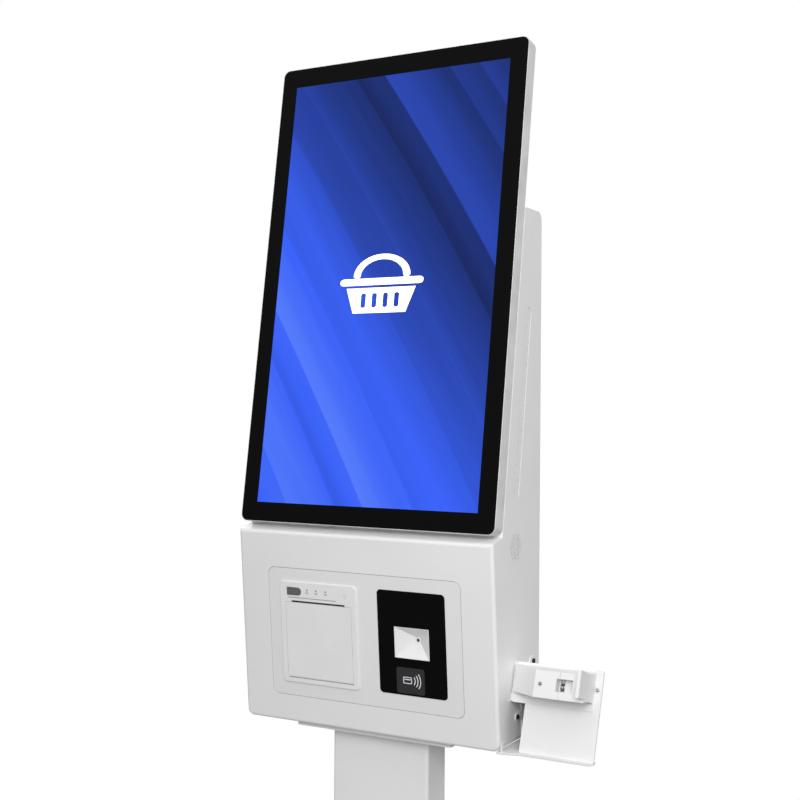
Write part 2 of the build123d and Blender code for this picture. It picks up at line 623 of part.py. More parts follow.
def make_electronics():
    inside = HALF_BODY - WALL
    narrow = inside - 6
    tray = slab((-narrow, narrow), (TRAY_Y, TRAY_Y + TRAY_T), TRAY_Z)
    for z in ((TRAY_Z[0], TRAY_Z[0] + 22), (TRAY_Z[1] - 48, TRAY_Z[1])):
        tray += slab((-inside, inside), (TRAY_Y, TRAY_Y + TRAY_T), z)
        for x in ((-inside, -inside + 1.5), (inside - 1.5, inside)):
            tray += slab(x, (TRAY_Y + TRAY_T, TRAY_Y + 17), z)
    tray -= slab((-35, 35), (TRAY_Y - 1, TRAY_Y + TRAY_T + 1), (1030, 1080))
    keep("equipment_tray", tray)

    computer_depth = 30
    computer = box_on_tray((-150, 30), (1120, 1250), computer_depth)
    fin_foot = TRAY_Y + TRAY_T + computer_depth
    for i in range(12):
        fin_x = -140 + 14 * i
        computer += slab((fin_x - 1.5, fin_x + 1.5), (fin_foot, fin_foot + 5), (1128, 1242))
    keep("computer", computer)
    supply = box_on_tray((55, 165), (1120, 1200), 34)
    for row in range(5):
        for column in range(9):
            hole_x, hole_z = 70 + 10 * column, 1135 + 12 * row
            supply -= rod(hole_x, TRAY_Y + TRAY_T + 32, hole_z, 2.5, 4, "y")
    keep("power_supply", supply)


INLET_X = -70.0
SWITCH_X = -20.0
LAN_X = 30.0
LAN_PITCH = 35.0
PORT_Z = sum(IO_Z) / 2
ROCKER_TILT = 9.0
ROCKER_W = 12.0
ROCKER_H = 20.0
ROCKER_Y = BACK_Y + 1.0


def make_io():
    y = (BACK_Y - WALL, BACK_Y)
    panel = slab(grown(IO_X, -0.3), y, grown(IO_Z, -0.3))
    panel += slab(grown(IO_X, 5), (BACK_Y - WALL - 1.5, BACK_Y - WALL), grown(IO_Z, 5))
    through = (BACK_Y - 3 * WALL, BACK_Y + WALL)
    cut_outs = ((INLET_X, 28, 21), (SWITCH_X, 19, 27), (LAN_X, 17, 15), (LAN_X + LAN_PITCH, 17, 15))
    for centre, size_x, size_z in cut_outs:
        limits_z = (PORT_Z - size_z / 2 - 0.1, PORT_Z + size_z / 2 + 0.1)
        panel -= slab((centre - size_x / 2 - 0.1, centre + size_x / 2 + 0.1), through, limits_z)
    keep("io_panel", panel)

    inlet = slab((INLET_X - 14, INLET_X + 14), (BACK_Y - 24, BACK_Y + 0.5), (PORT_Z - 10.5, PORT_Z + 10.5))
    inlet += slab((INLET_X - 17, INLET_X + 17), (BACK_Y, BACK_Y + 2), (PORT_Z - 13, PORT_Z + 13))
    inlet -= slab((INLET_X - 12, INLET_X + 12), (BACK_Y - 16, BACK_Y + 3), (PORT_Z - 8.3, PORT_Z + 8.3))
    for x, z in ((-7, 2), (0, -2), (7, 2)):
        centre_x, centre_z = INLET_X + x, PORT_Z + z
        inlet += slab((centre_x - 1, centre_x + 1), (BACK_Y - 17, BACK_Y - 3), (centre_z - 2, centre_z + 2))
    keep("power_inlet", inlet)

    frame = slab((SWITCH_X - 9.5, SWITCH_X + 9.5), (BACK_Y - 22, BACK_Y), (PORT_Z - 13.5, PORT_Z + 13.5))
    frame += slab((SWITCH_X - 11, SWITCH_X + 11), (BACK_Y, BACK_Y + 2), (PORT_Z - 15, PORT_Z + 15))
    pocket_x = (SWITCH_X - ROCKER_W / 2 - GAP, SWITCH_X + ROCKER_W / 2 + GAP)
    frame -= slab(pocket_x, (BACK_Y - 12, BACK_Y + 3), (PORT_Z - 11.5, PORT_Z + 11.5))
    frame -= rod(SWITCH_X - 8, ROCKER_Y - 4, PORT_Z, 1.0 + FIT, 16, "x")
    keep("switch_frame", frame)
    rocker = slab((-ROCKER_W / 2, ROCKER_W / 2), (-3, 4), (-ROCKER_H / 2, ROCKER_H / 2))
    rocker += rod(-ROCKER_W / 2, 0, 0, 3.5, ROCKER_W, "x")
    rocker += rod(-ROCKER_W / 2 - 1.8, 0, 0, 1.0, ROCKER_W + 3.6, "x")
    keep("rocker", Pos(SWITCH_X, ROCKER_Y - 4, PORT_Z) * Rot(-ROCKER_TILT, 0, 0) * rocker)

    sockets = []
    for x in (LAN_X, LAN_X + LAN_PITCH):
        lan = slab((x - 8.5, x + 8.5), (BACK_Y - 20, BACK_Y + 0.5), (PORT_Z - 7.5, PORT_Z + 7.5))
        lan -= slab((x - 6.5, x + 6.5), (BACK_Y - 14, BACK_Y + 1), (PORT_Z - 5, PORT_Z + 4.5))
        sockets.append(lan)
    keep("data_sockets", group(sockets))


# ---------------------------------------------------------------- card-terminal holder
PLATE_X = (213.0, 311.6)
PLATE_S = (-2.0, 110.0)
BAND_S = 59.0
HOLDER_T = 2.5
BLOCK_X = 269.0
BLOCK_OFF = 36.0
JAW_X = (297.8, 302.0)
JAW_OFF = (0.4, 53.0)
JAW_S = (69.0, 102.0)
POCKET_S = (74.5, 90.5)
POCKET_X = (265.0, 286.5)
POCKET_DEPTH = 12.0
CHANNEL_X = (252.0, 288.0)  # the spring's round channel, under the pocket
CHANNEL_R = 5.2
CHANNEL_OFF = 16.5
SLOT_REACH = 3.2            # the slot over the channel runs this far into the jaw
GUIDE_S = (71.5, 96.5)
GUIDE_OFF = 18.0
GUIDE_R = 1.6
SHELF_T = 3.0
SHELF_X = 188.5             # the shelf reaches a little under the housing's rounded foot
SIDE_T = 1.2                # plate against the housing's side
SIDE_FRONT = 82.0
TONGUE_R = 5.0              # tongue that reaches forward to the lower side screw
BAND_TOP = 68.0             # raised strip across the plate, below the block
BAND_PROUD = 1.5
BAND_END = 303.0
STOP_Y = (17.0, 24.0)       # small stop tab at the shelf's front corner
STOP_H = 12.0
STOP_T = 2.0
BOX_X = 275.0               # closed box behind the leaning plate
BOX_FRONT = 60.5
BOX_BACK = 100.0
BOX_TOP = -212.0
BOX_WALL = 2.0
CHEEK_FOOT = 31.0
HEAD_R = 2.3
KNOB_R = 3.0
KNOB_T = 2.5
BLOCK_SCREW = (244.5, 82.0, BLOCK_OFF)
PLATE_SCREW = (306.1, 86.0, 0.0)


def flat_outline(points, z):
    """A solid over a polygon in the XY plane, between two z values."""
    return Pos(0, 0, z[0]) * extrude(make_face(Polyline(*points, close=True)), z[1] - z[0])


def make_bracket():
    """The folded bracket: leaning plate, side plate, shelf and the closed box behind."""
    inner = HALF_BODY
    plate = slab(PLATE_X, PLATE_S, (-HOLDER_T, 0), 2.5)
    plate += slab((inner + HOLDER_T - 0.5, PLATE_X[1]), (BAND_S, PLATE_S[1]), (-HOLDER_T, 0), 2.5)
    plate += slab((inner + 0.2, inner + 12), (BAND_S + 2, PLATE_S[1] - 2), (-HOLDER_T, 0))
    plate += slab((inner + HOLDER_T - 0.5, BAND_END), (BAND_S, BAND_TOP), (-HOLDER_T, BAND_PROUD), 1.0)
    plate -= Pos(*PLATE_SCREW) * Cylinder(1.52, 10)
    bracket = HOLDER * plate

    screw_y, screw_z = SIDE_SCREWS[1]
    side_points = [(49, -240), (65.5, -193), (106, -202), (110, -195.5), (124, -195.5), (134, -209)]
    side_points += [(134, -285), (SIDE_FRONT, -285), (SIDE_FRONT, screw_z - TONGUE_R)]
    side_points += [(screw_y, screw_z - TONGUE_R), (screw_y, screw_z + TONGUE_R)]
    side_points += [(SIDE_FRONT, screw_z + TONGUE_R), (SIDE_FRONT - 3, -249)]
    side = Pos(inner, 0, 0) * extrude(side_profile(side_points), SIDE_T)
    bracket += side + rod(inner, SCREEN_Y + screw_y, SCREEN_Z + screw_z, TONGUE_R, SIDE_T, "x")
    for y, z in SIDE_SCREWS:
        bracket -= rod(inner - 1, SCREEN_Y + y, SCREEN_Z + z, 2.7, 6, "x")

    outline = [(SHELF_X, 15), (199, 17), (218, 23), (308, 23), (PLATE_X[1], 27), (PLATE_X[1], 36)]
    outline += [(BOX_X, 36), (BOX_X, BOX_BACK), (SHELF_X, BOX_BACK)]
    shelf_z = (BODY_FOOT - 2, BODY_FOOT - 2 + SHELF_T)
    shelf = flat_outline([(x, SCREEN_Y + y) for x, y in outline], shelf_z)
    bracket += fillet(shelf.faces().sort_by(Axis.Z)[0].edges(), 1.2)
    inside_z = shelf_z[1] - 1
    stop_y = (SCREEN_Y + STOP_Y[0], SCREEN_Y + STOP_Y[1])
    bracket += slab((inner + 0.3, inner + 0.3 + STOP_T), stop_y, (inside_z, inside_z + STOP_H), 0.8)
    leg_y = (SCREEN_Y + SIDE_FRONT, SCREEN_Y + BOX_BACK)
    bracket += slab((inner, inner + SIDE_T), leg_y, (inside_z, SCREEN_Z - 284))
    back_y = (SCREEN_Y + BOX_BACK - BOX_WALL, SCREEN_Y + BOX_BACK)
    bracket += slab((inner, BOX_X), back_y, (inside_z, SCREEN_Z + BOX_TOP))
    cheek = [(CHEEK_FOOT, BODY_BOTTOM), (BOX_FRONT, BOX_TOP), (BOX_BACK, BOX_TOP), (BOX_BACK, BODY_BOTTOM)]
    bracket += Pos(BOX_X - BOX_WALL, 0, 0) * extrude(side_profile(cheek), BOX_WALL)
    lid_z = (SCREEN_Z + BOX_TOP - BOX_WALL, SCREEN_Z + BOX_TOP)
    bracket += slab((inner, BOX_X), (SCREEN_Y + BOX_FRONT, SCREEN_Y + BOX_BACK), lid_z)
    keep("holder_bracket", bracket)


def make_holder():
    make_bracket()
    plan = [(195.6, 0), (195.6, 5), (236.5, BLOCK_OFF), (BLOCK_X, BLOCK_OFF), (BLOCK_X, 0)]
    plan_face = Plane.XZ * make_face(Polyline(*plan, close=True))
    block = Pos(0, 150, 0) * extrude(plan_face, 300)
    slope = [(73, 0), (107, 0), (98.5, BLOCK_OFF), (65, BLOCK_OFF)]
    slope_face = Plane.YZ * make_face(Polyline(*slope, close=True))
    block = block & (Pos(150, 0, 0) * extrude(slope_face, 150))
    pocket_z = (BLOCK_OFF - POCKET_DEPTH, BLOCK_OFF + 1)
    middle_s = sum(POCKET_S) / 2
    channel = rod(CHANNEL_X[0], middle_s, CHANNEL_OFF, CHANNEL_R, CHANNEL_X[1] - CHANNEL_X[0], "x")
    block -= slab((POCKET_X[0], BLOCK_X + 1), POCKET_S, pocket_z)
    block -= slab((POCKET_X[0] + 0.8, BLOCK_X + 1), POCKET_S, (CHANNEL_OFF, BLOCK_OFF + 1))
    block -= channel
    rods = []
    for s in GUIDE_S:
        bore = rod(246, s, GUIDE_OFF, GUIDE_R, 60, "x")
        block -= bore
        rods.append(HOLDER * rod(246, s, GUIDE_OFF, GUIDE_R, 50, "x"))
    block -= Pos(*BLOCK_SCREW) * Cylinder(1.52, 10)
    keep("holder_block", HOLDER * block)
    keep("guide_rods", group(rods))
    slider_x = (BLOCK_X + GAP, JAW_X[1])
    slider = Pos(slider_x[0], 0, 0) * extrude(slope_face, slider_x[1] - slider_x[0])
    slider -= slab(grown(slider_x, 1), (0, 200), (-1, JAW_OFF[0]))
    slider += slab(JAW_X, JAW_S, JAW_OFF)
    slider -= slab((BLOCK_X, POCKET_X[1]), POCKET_S, pocket_z)
    slider -= slab((BLOCK_X, BLOCK_X + SLOT_REACH), POCKET_S, (CHANNEL_OFF, BLOCK_OFF + 1))
    slider -= channel
    screw_s = (PLATE_SCREW[1] - HEAD_R - 1, PLATE_SCREW[1] + HEAD_R + 1)
    slider -= slab((JAW_X[1] - 8, JAW_X[1] + 1), screw_s, (0, 2.6))
    for s in GUIDE_S:
        slider -= rod(BLOCK_X, s, GUIDE_OFF, GUIDE_R + FIT, 30.5, "x")
    keep("holder_jaw", HOLDER * slider)

    coil_len = CHANNEL_X[1] - CHANNEL_X[0] - 2.6
    path = Helix(pitch=2.0, height=coil_len, radius=4.2)
    section = Plane(origin=path @ 0, z_dir=path % 0) * Circle(0.6)
    coil = sweep(section, path=path, is_frenet=True)
    keep("jaw_spring", HOLDER * Pos(CHANNEL_X[0] + 1.3, middle_s, CHANNEL_OFF) * Rot(0, 90, 0) * coil)

    small = []
    for place in (BLOCK_SCREW, PLATE_SCREW):
        head = Pos(0, 0, 1) * Cylinder(HEAD_R, 2.0)
        pan = fillet(head.faces().sort_by(Axis.Z)[-1].edges(), 0.8) - Pos(0, 0, 2) * Box(3, 0.7, 1.2)
        small.append(HOLDER * (Pos(*place) * (pan + Pos(0, 0, -1.2) * Cylinder(1.5, 2.4))))
    keep("holder_screws", group(small))
    knobs = []
    for y, z in SIDE_SCREWS:
        knob = rod(HALF_BODY + SIDE_T, SCREEN_Y + y, SCREEN_Z + z, KNOB_R, KNOB_T, "x")
        knob = fillet(knob.faces().sort_by(Axis.X)[-1].edges(), 0.8)
        knob += rod(HALF_BODY - 8, SCREEN_Y + y, SCREEN_Z + z, 2.5, 10, "x")
        knobs.append(knob)
    keep("holder_side_screws", group(knobs))


# ---------------------------------------------------------------- stand
BOLT_R = 4.0
BOLT_HEAD_R = 7.2
BOLT_HEAD_T = 5.5
TOP_BOLT_LENGTH = 10.0
FOOT_BOLT_LENGTH = 16.0
WASHER_R = 8.0
WASHER_T = 1.6
BASE_FLANGE_W = 230.0
BASE_FLANGE_D = 120.0
BASE_FLANGE_T = 6.0
BASE_BOLT_X = 97.0
BASE_BOLT_Y = 45.0
ANCHOR = 190.0
ANCHOR_R = 5.5
PAD_INSET = 3.0


def bolt_and_washer(x, y, z, length):
    """A hexagon bolt and its washer, standing on a face at a height; the shank points down."""
    seat = z + WASHER_T
    bolt = Pos(x, y, seat) * extrude(RegularPolygon(BOLT_HEAD_R, 6), BOLT_HEAD_T)
    bolt += rod(x, y, seat - length, BOLT_R, length, "z")
    washer = rod(x, y, z, WASHER_R, WASHER_T, "z")
    return bolt, washer - rod(x, y, z - 1, BOLT_R + 0.2, WASHER_T + 2, "z")


def corners(x, y):
    return [(i, j) for i in (-x, x) for j in (-y, y)]


def centred(width, depth, z, radius):
    """A plate of that width and depth, centred on the column, with rounded corners."""
    return slab((-width / 2, width / 2), (-depth / 2, depth / 2), z, radius)


def make_stand():
    foot = BASE_TOP + BASE_FLANGE_T
    column = centred(COLUMN_W, COLUMN_D, (foot, COLUMN_TOP), COLUMN_R)
    inside_w, inside_d = COLUMN_W - 2 * COLUMN_WALL, COLUMN_D - 2 * COLUMN_WALL
    column -= centred(inside_w, inside_d, (foot - 1, COLUMN_TOP + 1), COLUMN_R - COLUMN_WALL)
    keep("column", column)

    top = centred(FLANGE_W, FLANGE_D, (COLUMN_TOP, BODY_FOOT), 3)
    top -= centred(CABLE_PORT_W, CABLE_PORT_D, (COLUMN_TOP - 1, BODY_FOOT + 1), 0)
    fixings = []
    for x, y in corners(FLANGE_BOLT_X, FLANGE_BOLT_Y):
        top -= rod(x, y, COLUMN_TOP - 1, BOLT_R + 0.02, 20, "z")
        fixings.append(bolt_and_washer(x, y, BODY_FOOT + WALL, TOP_BOLT_LENGTH))
    keep("column_top_flange", top)

    base = centred(BASE_W, BASE_D, (PAD_T, BASE_TOP), BASE_R)
    base = fillet(base.faces().sort_by(Axis.Z)[-1].edges(), 2)
    foot_flange = centred(BASE_FLANGE_W, BASE_FLANGE_D, (BASE_TOP, foot), 8)
    pad = centred(BASE_W - 2 * PAD_INSET, BASE_D - 2 * PAD_INSET, (0, PAD_T), BASE_R - PAD_INSET)
    for x, y in corners(ANCHOR, ANCHOR):
        base -= rod(x, y, 0, ANCHOR_R, 40, "z")
        pad -= rod(x, y, -1, 2 * ANCHOR_R, 10, "z")
    for x, y in corners(BASE_BOLT_X, BASE_BOLT_Y):
        base -= rod(x, y, 0, BOLT_R + 0.02, 40, "z")
        foot_flange -= rod(x, y, 0, BOLT_R + 0.2, 40, "z")
        fixings.append(bolt_and_washer(x, y, foot, FOOT_BOLT_LENGTH))
    keep("base_plate", base)
    keep("column_base_flange", foot_flange)
    keep("column_bolts", group(bolt for bolt, washer in fixings))
    keep("column_washers", group(washer for bolt, washer in fixings))
    keep("floor_pad", pad)


def main():
    make_housing()
    make_display()
    make_rear_door()
    make_insert()
    make_printer()
    make_scanner()
    make_sides()
    make_electronics()
    make_io()
    make_holder()
    make_stand()
    os.makedirs("parts", exist_ok=True)
    for name, shape in parts.items():
        export_step(shape, f"parts/{name}.step")
    print(len(parts), "nodes")


main()
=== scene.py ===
"""Looks of the self checkout kiosk: materials, screen picture, printed marks, light and camera."""

import json
from math import cos, pi, radians, sin

import bmesh
import bpy
from mathutils import Matrix, Vector


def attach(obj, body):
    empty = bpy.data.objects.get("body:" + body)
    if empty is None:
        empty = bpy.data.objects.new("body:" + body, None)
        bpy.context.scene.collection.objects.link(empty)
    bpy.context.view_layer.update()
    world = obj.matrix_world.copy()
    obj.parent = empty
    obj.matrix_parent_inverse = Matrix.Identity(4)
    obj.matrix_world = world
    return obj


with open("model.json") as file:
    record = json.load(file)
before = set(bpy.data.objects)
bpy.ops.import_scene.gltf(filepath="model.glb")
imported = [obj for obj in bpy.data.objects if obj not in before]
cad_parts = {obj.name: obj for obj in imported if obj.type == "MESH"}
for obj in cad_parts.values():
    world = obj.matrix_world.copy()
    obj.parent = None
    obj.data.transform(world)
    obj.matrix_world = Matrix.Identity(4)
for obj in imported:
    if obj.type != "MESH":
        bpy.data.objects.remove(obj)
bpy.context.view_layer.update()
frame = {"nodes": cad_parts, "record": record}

MM = 0.001

# The display's plane: its origin is the bottom centre of the lit area, on the glass.
SCREEN_POINT = Vector((0.0, -0.077, 0.980))
SCREEN_TILT = radians(8.64)
LIT_W = 336.2 * MM
LIT_H = 597.7 * MM
# The lower front face, whose foot leans in; its origin is level with the screen point.
FACE_POINT = Vector((0.0, -0.0886, 0.980))
FACE_TILT = radians(-5.19)


def leaning_frame(point, tilt):
    """A matrix whose x is the kiosk's, y runs up the leaning face and z points out of it."""
    out = Vector((0, -cos(tilt), sin(tilt)))
    side = Vector((1, 0, 0))
    up = out.cross(side)
    matrix = Matrix((side, up, out)).transposed().to_4x4()
    matrix.translation = point
    return matrix


DISPLAY = leaning_frame(SCREEN_POINT, SCREEN_TILT)
FACE = leaning_frame(FACE_POINT, FACE_TILT)


# ---------------------------------------------------------------- material helpers
class Nodes:
    """A material's node tree with short ways to add and link nodes."""

    def __init__(self, name):
        self.material = bpy.data.materials.new(name)
        self.material.use_nodes = True
        self.tree = self.material.node_tree
        self.shader = self.tree.nodes["Principled BSDF"]
        self.place = self.tree.nodes.new("ShaderNodeTexCoord").outputs["Object"]

    def add(self, kind, **values):
        node = self.tree.nodes.new(kind)
        for key, value in values.items():
            setattr(node, key, value)
        return node

    def link(self, source, target):
        self.tree.links.new(source, target)

    def math(self, operation, a, b=0.0, clamp=False):
        node = self.add("ShaderNodeMath", operation=operation, use_clamp=clamp)
        for socket, value in zip(node.inputs, (a, b)):
            if isinstance(value, (int, float)):
                socket.default_value = value
            else:
                self.link(value, socket)
        return node.outputs[0]

    def noise(self, scale, detail=2.0, roughness=0.5, place=None, stretch=None):
        source = place or self.place
        if stretch:
            mapping = self.add("ShaderNodeMapping")
            mapping.inputs["Scale"].default_value = stretch
            self.link(source, mapping.inputs["Vector"])
            source = mapping.outputs[0]
        node = self.add("ShaderNodeTexNoise")
        node.inputs["Scale"].default_value = scale
        node.inputs["Detail"].default_value = detail
        node.inputs["Roughness"].default_value = roughness
        self.link(source, node.inputs["Vector"])
        return node.outputs["Fac"]

    def span(self, value, low, high, from_low=0.3, from_high=0.7, smooth=False):
        """Maps a value's range to low..high."""
        node = self.add("ShaderNodeMapRange")
        if smooth:
            node.interpolation_type = "SMOOTHSTEP"
        limits = {"From Min": from_low, "From Max": from_high, "To Min": low, "To Max": high}
        for name, number in limits.items():
            node.inputs[name].default_value = number
        self.link(value, node.inputs["Value"])
        return node.outputs["Result"]

    def mix(self, factor, a, b):
        node = self.add("ShaderNodeMix", data_type="RGBA")
        self.link(factor, node.inputs["Factor"])
        for socket, value in ((node.inputs["A"], a), (node.inputs["B"], b)):
            if isinstance(value, tuple):
                socket.default_value = (*value, 1.0)
            else:
                self.link(value, socket)
        return node.outputs["Result"]

    def colour(self, factor, a, b, target="Base Color"):
        self.link(self.mix(factor, a, b), self.shader.inputs[target])

    def roughness(self, factor, low, high):
        self.link(self.span(factor, low, high), self.shader.inputs["Roughness"])

    def bump(self, height, depth, strength=1.0, after=None):
        node = self.add("ShaderNodeBump")
        node.inputs["Distance"].default_value = depth
        node.inputs["Strength"].default_value = strength
        self.link(height, node.inputs["Height"])
        if after:
            self.link(after, node.inputs["Normal"])
        self.link(node.outputs[0], self.shader.inputs["Normal"])
        return node.outputs[0]

    def set(self, **values):
        for key, value in values.items():
            self.shader.inputs[key.replace("_", " ")].default_value = value


def shade(colour, factor):
    return tuple(min(1.0, c * factor) for c in colour)


def coated(name, colour, rough=0.42, grain=0.9, depth=0.00003):
    """Powder-coated sheet: fine orange peel, faint cloudiness and uneven sheen."""
    n = Nodes(name)
    cloud = n.noise(6.0, 4.0)
    fine = n.noise(1000.0 / grain, 3.0)
    peel = n.noise(420.0 / grain, 2.0)
    n.colour(n.span(cloud, 0, 1), shade(colour, 0.97), shade(colour, 1.02))
    n.roughness(n.noise(60.0, 3.0), rough - 0.05, rough + 0.06)
    first = n.bump(peel, depth * 1.5, 0.5)
    n.bump(fine, depth, 0.5, after=first)
    n.set(Specular_IOR_Level=0.5)
    return n.material


def moulded(name, colour, rough=0.5, grain=1.0, depth=0.00003):
    """Moulded plastic with a spark-eroded texture."""
    n = Nodes(name)
    cells = n.add("ShaderNodeTexVoronoi", feature="SMOOTH_F1")
    cells.inputs["Scale"].default_value = 1500.0 / grain
    n.link(n.place, cells.inputs["Vector"])
    n.colour(n.span(n.noise(25.0, 4.0), 0, 1), shade(colour, 0.98), shade(colour, 1.015))
    n.roughness(n.noise(140.0, 3.0), rough - 0.06, rough + 0.07)
    first = n.bump(cells.outputs["Distance"], depth, 0.6)
    n.bump(n.noise(300.0, 3.0), depth, 0.3, after=first)
    return n.material


def glossy(name, colour, rough=0.08, mirror=0.5):
    """Gloss plastic or back-printed glass, with faint wiping marks in its sheen."""
    n = Nodes(name)
    wipes = n.noise(9.0, 5.0, 0.6, stretch=(1.0, 1.0, 6.0))
    n.colour(n.span(n.noise(30.0, 3.0), 0, 1), shade(colour, 0.94), shade(colour, 1.06))
    n.roughness(wipes, rough * 0.7, rough * 1.6)
    n.bump(n.noise(12.0, 2.0), 0.00002, 0.2)
    n.set(Specular_IOR_Level=mirror)
    return n.material


def metal(name, colour, rough=0.3, brushed=(1.0, 40.0, 40.0), metallic=1.0):
    """Brushed, plated or turned metal: fine lines along one direction and soft stains."""
    n = Nodes(name)
    lines = n.noise(90.0, 4.0, 0.6, stretch=brushed)
    n.colour(n.span(n.noise(35.0, 5.0), 0, 1), shade(colour, 0.88), shade(colour, 1.05))
    n.roughness(lines, rough - 0.08, rough + 0.12)
    n.bump(lines, 0.00002, 0.35)
    n.set(Metallic=metallic)
    return n.material


def zinc(name, colour):
    """Zinc plating: pale crystals, slightly iridescent patches."""
    n = Nodes(name)
    cells = n.add("ShaderNodeTexVoronoi")
    cells.inputs["Scale"].default_value = 220.0
    n.link(n.place, cells.inputs["Vector"])
    warm = (colour[0], colour[1] * 0.99, colour[2] * 0.97)
    patch = n.mix(n.span(n.noise(18.0, 3.0), 0, 1), shade(colour, 0.9), warm)
    spark = n.span(cells.outputs["Distance"], 0, 0.35, 0.0, 1.0)
    n.colour(spark, patch, shade(colour, 1.12))
    n.roughness(n.noise(160.0, 3.0), 0.28, 0.42)
    n.bump(cells.outputs["Distance"], 0.00002, 0.3)
    n.set(Metallic=1.0)
    return n.material


WHITE = (0.79, 0.79, 0.795)
finish = {
    "white_steel": coated("white_powder_coat", WHITE),
    "panel_white": coated("white_panel_coat", shade(WHITE, 0.965)),
    "silver": metal("satin_aluminium", (0.70, 0.70, 0.705), 0.46, (40.0, 40.0, 1.5), 0.12),
    "cover_glass": glossy("black_printed_glass", (0.0028, 0.0028, 0.003), 0.10, 0.07),
    "lcd": moulded("lcd_module", (0.03, 0.03, 0.035), 0.4),
    "foam": moulded("sealing_foam", (0.03, 0.03, 0.03), 0.9, 0.8, 0.0001),
    "dark_sheet": coated("dark_powder_coat", (0.035, 0.035, 0.038), 0.5),
    "zinc": zinc("zinc_plating", (0.40, 0.40, 0.40)),
    "black_screw": metal("black_oxide", (0.03, 0.03, 0.032), 0.4),
    "black_gloss": glossy("black_acrylic", (0.003, 0.003, 0.0034), 0.14, 0.12),
    "black_plastic": moulded("black_plastic", (0.025, 0.025, 0.027), 0.5),
    "grey_plastic": moulded("grey_plastic", (0.12, 0.12, 0.125), 0.42, 0.8),
    "white_plastic": moulded("white_plastic", (0.79, 0.79, 0.79), 0.4, 0.7, 0.00002),
    "strip_white": moulded("light_diffuser", (0.78, 0.78, 0.785), 0.3, 0.6, 0.00001),
    "lens_clear": glossy("smoked_lens", (0.05, 0.055, 0.06), 0.08),
    "steel": metal("bright_steel", (0.60, 0.60, 0.60), 0.26),
    "rubber": moulded("rubber", (0.025, 0.025, 0.025), 0.75, 1.4, 0.00006),
    "paper": moulded("thermal_paper", (0.86, 0.86, 0.84), 0.7, 2.0, 0.00002),
    "board": moulded("circuit_board", (0.02, 0.14, 0.05), 0.35, 2.0),
    "casting": coated("painted_casting", (0.80, 0.80, 0.80), 0.45, 1.4, 0.00005),
    "label_grey": moulded("label_film", (0.022, 0.022, 0.025), 0.45, 0.8, 0.00001),
}
slot_of = {s["node"]: s["material_slot"] for s in frame["record"]["subparts"]}
for node, shape in frame["nodes"].items():
    shape.data.materials.clear()
    shape.data.materials.append(finish[slot_of[node]])

# ---------------------------------------------------------------- the picture on the screen
# Soft diagonal folds: where each starts across the picture (m), how far it fades, how strong it is.
BANDS = (
    (-0.262, 0.080, 0.12),
    (-0.196, 0.035, -0.08),
    (-0.158, 0.060, 0.17),
    (-0.092, 0.040, -0.06),
    (-0.010, 0.060, -0.05),
    (0.040, 0.045, 0.04),
    (0.112, 0.036, -0.09),
    (0.150, 0.085, 0.24),
    (0.232, 0.055, 0.09),
    (0.268, 0.040, 0.08),
)
BAND_ANGLE = radians(33)
BAND_EDGE = 0.003           # how softly each fold starts (m)
BAND_BEND = 0.10            # how much the folds curve
THREADS_ACROSS = 26.0       # fine streaks: dense across the folds, long along them
THREADS_ALONG = 1.1
# From dark to light.
PICTURE_BLUES = (
    (0.0, (0.004, 0.009, 0.05)),
    (0.2, (0.010, 0.028, 0.18)),
    (0.45, (0.022, 0.064, 0.46)),
    (0.7, (0.040, 0.120, 0.93)),
    (1.0, (0.115, 0.240, 0.98)),
)
PICTURE_T = 0.05            # thickness of the picture and of the icon on it, in mm
ICON_Y = 298                # the basket icon's middle above the screen point, in mm
ICON_SIZE = 74
ICON_STRETCH = 1.45


